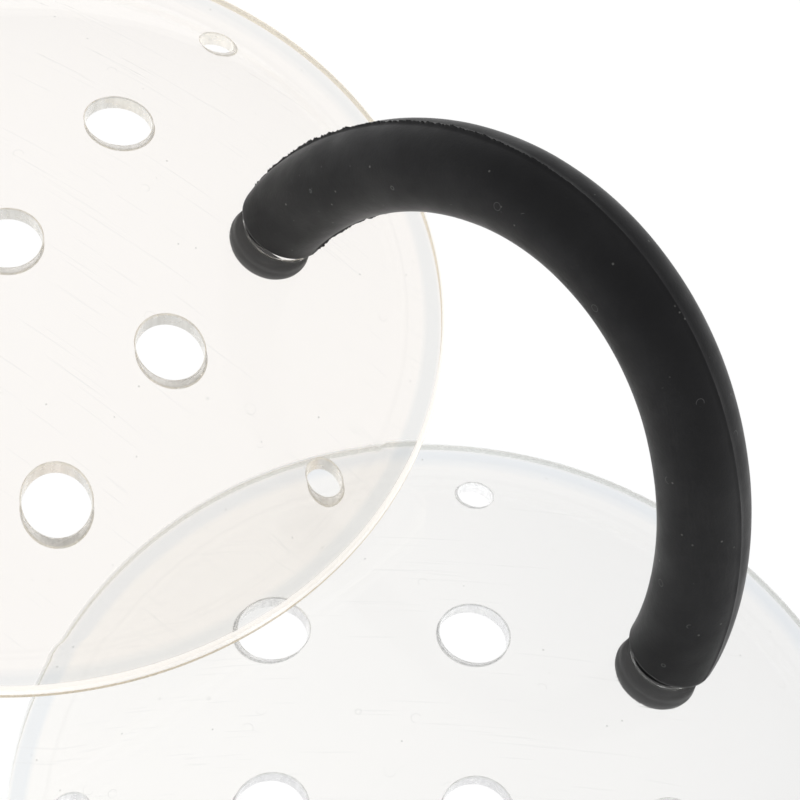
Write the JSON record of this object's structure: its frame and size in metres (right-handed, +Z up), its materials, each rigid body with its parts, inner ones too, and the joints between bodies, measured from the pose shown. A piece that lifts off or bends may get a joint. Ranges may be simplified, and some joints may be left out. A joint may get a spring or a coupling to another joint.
{
  "type": "bridged eye shield pair",
  "caption": "Pair of clear domed eye shields with vent holes, joined by an arched rubber nose bridge that plugs into each shield and lets it swivel.",
  "frame": {"origin": "middle of the pair's footprint, on the table that the shields lie on", "axes": "+Z up out of the table and along the lower shield's axis, X and Y along the lower shield's rows of vents, +Y away from the viewer and towards the upper shield"},
  "size_m": [0.0994, 0.105, 0.0359],
  "materials": {
    "clear_plastic": "clear moulded plastic, polished, with faint moulding ripples near the brim",
    "black_rubber": "matte black moulded rubber with a trimmed parting line"
  },
  "bodies": {
    "bridge": {"nose_bridge": "black_rubber"},
    "lower": {"lower_shield": "clear_plastic"},
    "upper": {"upper_shield": "clear_plastic"}
  },
  "joints": [
    {"name": "lower_shield_swivel", "type": "hinge", "parent": "bridge", "child": "lower", "pos_m": [0.03137, -0.00583, 0.00512], "axis": [0.2446, 0.2446, 0.9383], "range_deg": [-100, 15]},
    {"name": "upper_shield_swivel", "type": "hinge", "parent": "bridge", "child": "upper", "pos_m": [0.00205, 0.02493, 0.00898], "axis": [0.2801, 0.1438, 0.9491], "range_deg": [-110, 0]}
  ]
}
